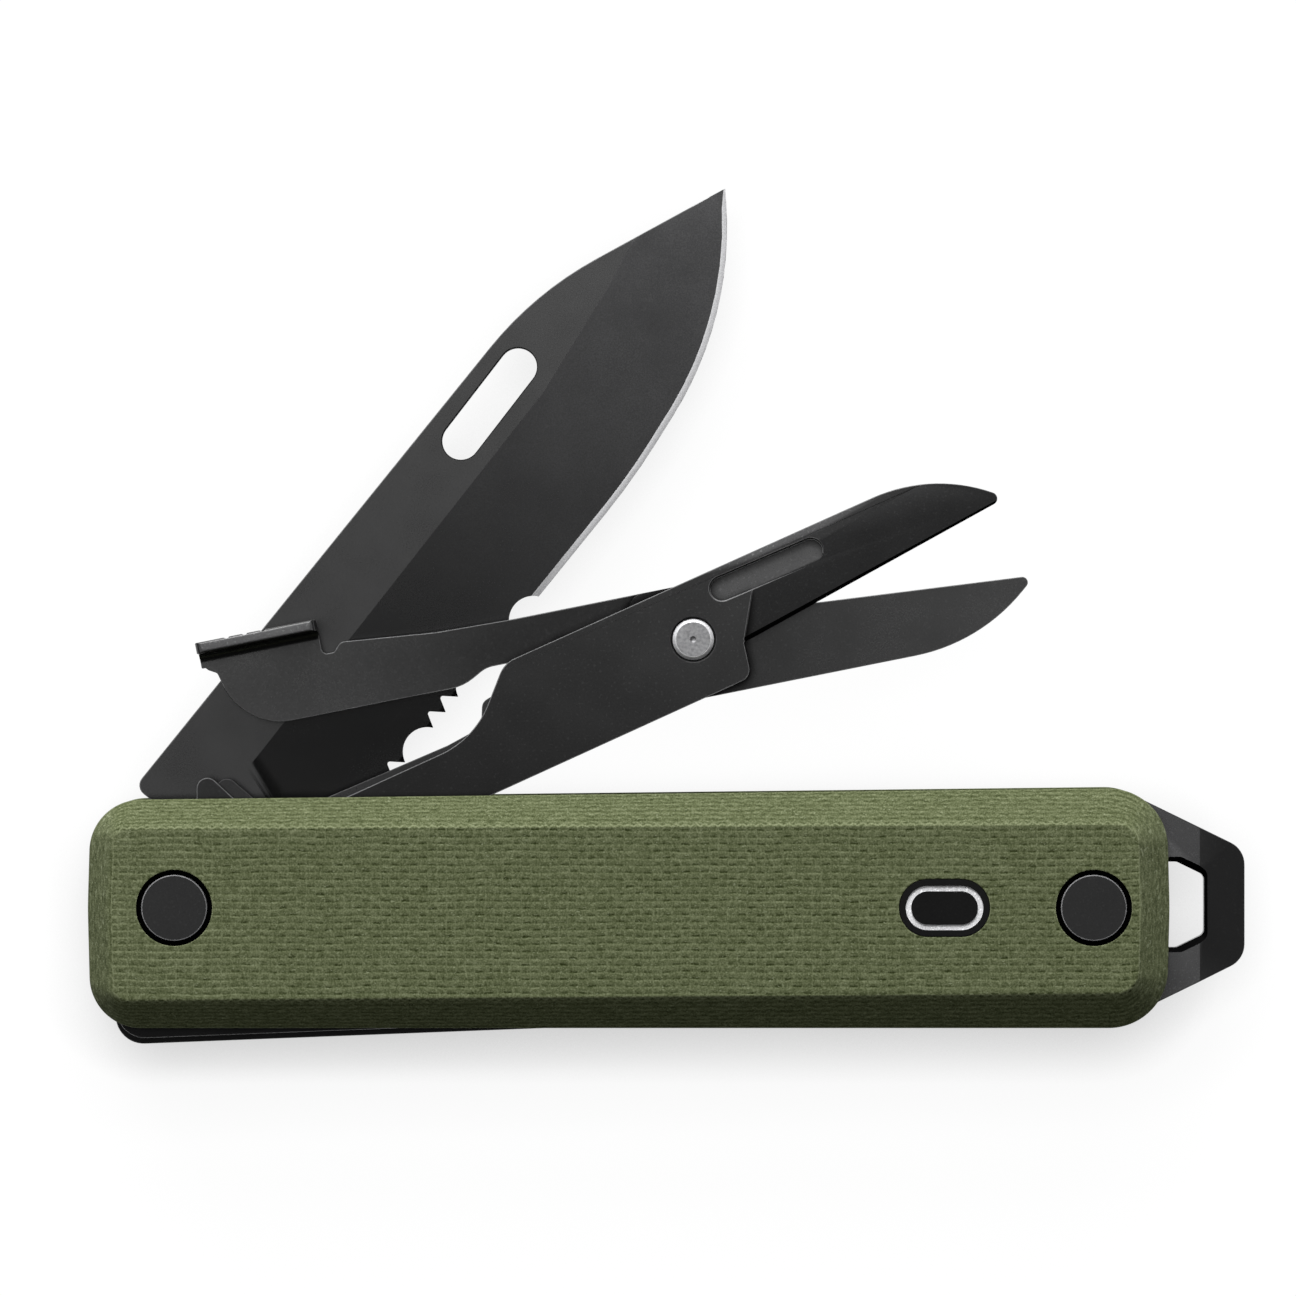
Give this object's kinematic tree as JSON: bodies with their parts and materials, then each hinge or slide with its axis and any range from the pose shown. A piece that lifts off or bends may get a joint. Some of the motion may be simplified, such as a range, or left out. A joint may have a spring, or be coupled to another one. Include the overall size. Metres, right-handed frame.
{
  "type": "folding multi tool",
  "caption": "Folding pocket multi tool with a part-serrated knife blade, sprung scissors, back springs and a pry tab with a key ring eye, between bevelled laminate scales.",
  "frame": {"origin": "middle of the line between the pivot pin and the butt pin, on the rear scale's outer face", "axes": "+X along the handle towards the pry tab, +Y towards the side the blade opens from, +Z towards the front scale"},
  "size_m": [0.0944, 0.0699, 0.0139],
  "materials": {
    "scale": "woven laminate, milled",
    "inlay": "satin",
    "liner": "coated, matt",
    "blade": "black coating over ground steel",
    "spring": "black coating",
    "scissors": "black coating, fine blast",
    "rivet": "turned",
    "fastener": "dark grey, matt",
    "pin": "plain",
    "washer": "plain"
  },
  "bodies": {
    "frame": {"front_scale": "scale", "rear_scale": "scale", "shield_inlay": "inlay", "front_liner": "liner", "middle_liner": "liner", "rear_liner": "liner", "blade_backspring": "spring", "scissor_backspring": "spring", "pivot_barrel": "fastener", "pivot_screw": "fastener", "butt_barrel": "fastener", "butt_screw": "fastener", "spring_pin": "pin", "blade_washers": "washer", "scissor_washers": "washer"},
    "knife": {"blade": "blade"},
    "scissors": {"scissor_arm": "scissors", "scissor_spring": "spring", "scissor_rivet": "rivet"},
    "lever": {"scissor_lever": "scissors"}
  },
  "joints": [
    {"name": "blade_pivot", "type": "hinge", "parent": "frame", "child": "knife", "pos_m": [-0.03725, 0, 0.00502], "axis": [0, 0, 1], "range_deg": [-46.5, 128.9]},
    {"name": "scissors_pivot", "type": "hinge", "parent": "frame", "child": "scissors", "pos_m": [-0.03725, 0, 0.00858], "axis": [0, 0, 1], "range_deg": [-18, 158]},
    {"name": "lever_pivot", "type": "hinge", "parent": "scissors", "child": "lever", "pos_m": [0.00482, 0.02175, 0.0085], "axis": [0, 0, 1], "range_deg": [0, 13.8], "stiffness_Nm_per_rad": 0.1, "springref_deg": -5.73, "deforming": ["scissor_spring"]}
  ]
}
